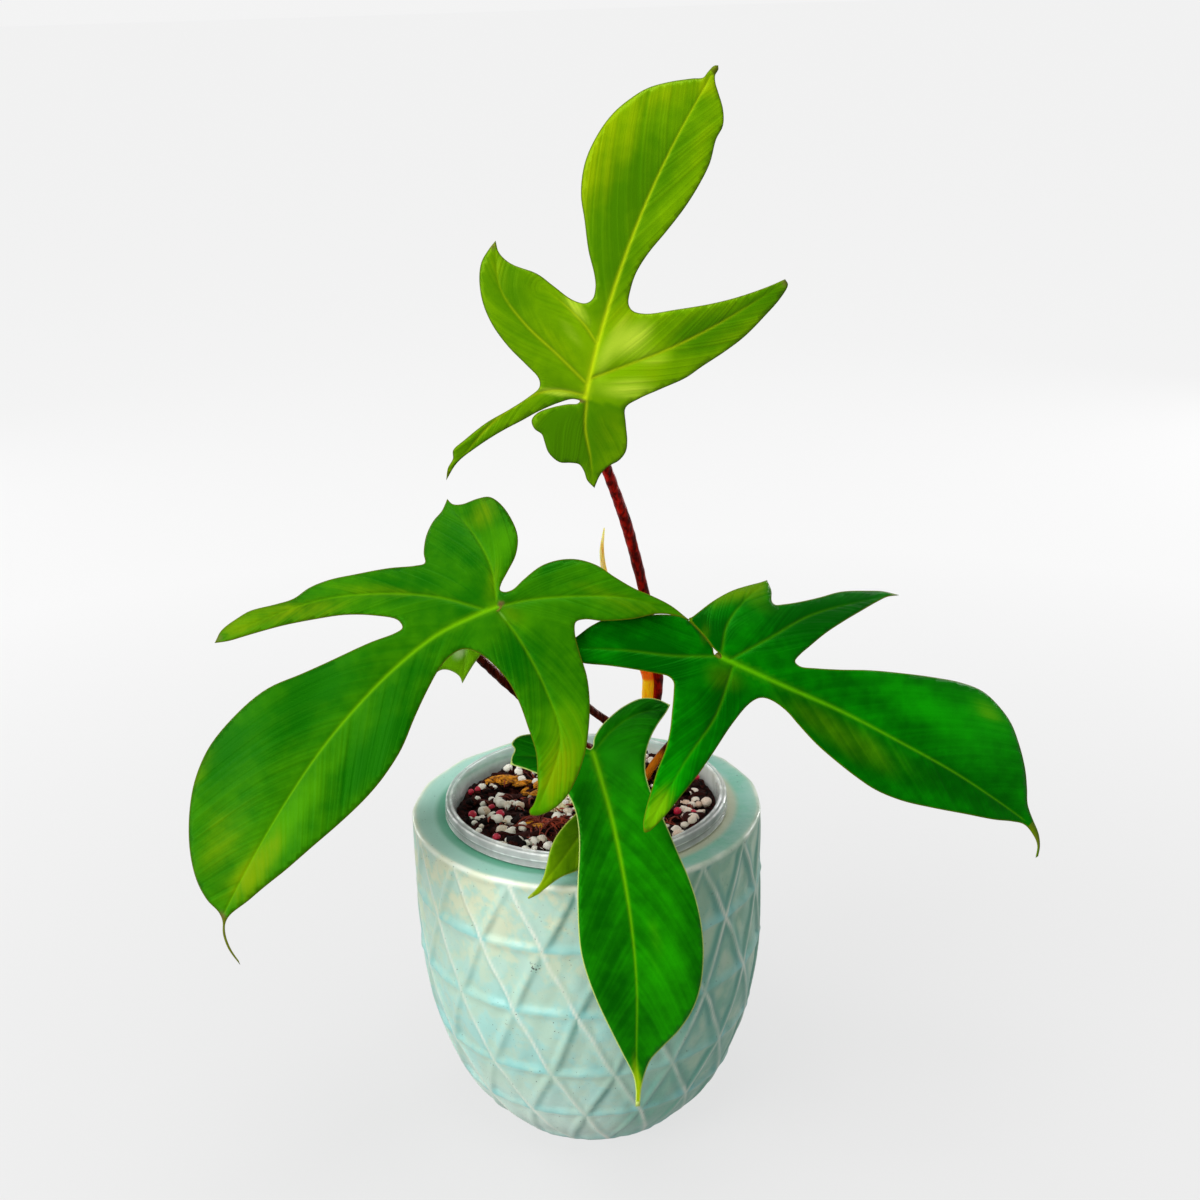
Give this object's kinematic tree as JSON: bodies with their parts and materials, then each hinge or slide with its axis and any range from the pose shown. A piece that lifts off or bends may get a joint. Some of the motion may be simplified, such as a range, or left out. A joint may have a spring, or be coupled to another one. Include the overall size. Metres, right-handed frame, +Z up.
{
  "type": "potted philodendron squamiferum",
  "caption": "Climbing aroid with deeply lobed leathery leaves on thin red-brown petioles, in a clear nursery pot inside a glazed egg-shaped planter with a triangle relief.",
  "frame": {"origin": "centre of the planter's flat foot, where it rests", "axes": "+Z up; -Y is the side that the leaves face, the front of the picture; +X to the viewer's right"},
  "size_m": [0.3193, 0.1752, 0.4292],
  "materials": {
    "celadon_glaze": "gloss glaze, cream where thin on the ridges, turquoise where it pools",
    "clear_plastic": "clear greyish thin plastic",
    "potting_mix": "loose dark bark, coir and white perlite",
    "dry_husk": "dry fibrous plant sheath",
    "stem_bark": "waxy green to brown stem",
    "petiole_red": "semi-gloss dark red-brown plant skin",
    "sheath_yellow": "semi-gloss yellow-orange leaf sheath, dry at the tip",
    "leaf_light": "glossy yellow-green leaf skin",
    "leaf_mid": "semi-gloss green leaf skin",
    "leaf_dark": "semi-gloss dark green leaf skin"
  },
  "bodies": {
    "root": {"outer_pot": "celadon_glaze", "nursery_pot": "clear_plastic", "potting_mix": "potting_mix", "dried_husk": "dry_husk", "stem": "stem_bark", "petiole_top": "petiole_red", "petiole_left": "petiole_red", "petiole_right": "petiole_red", "petiole_front": "petiole_red", "petiole_back": "petiole_red", "sheath": "sheath_yellow", "blade_top": "leaf_light", "blade_left": "leaf_mid", "blade_right": "leaf_dark", "blade_front": "leaf_dark", "blade_back": "leaf_mid"}
  },
  "joints": []
}
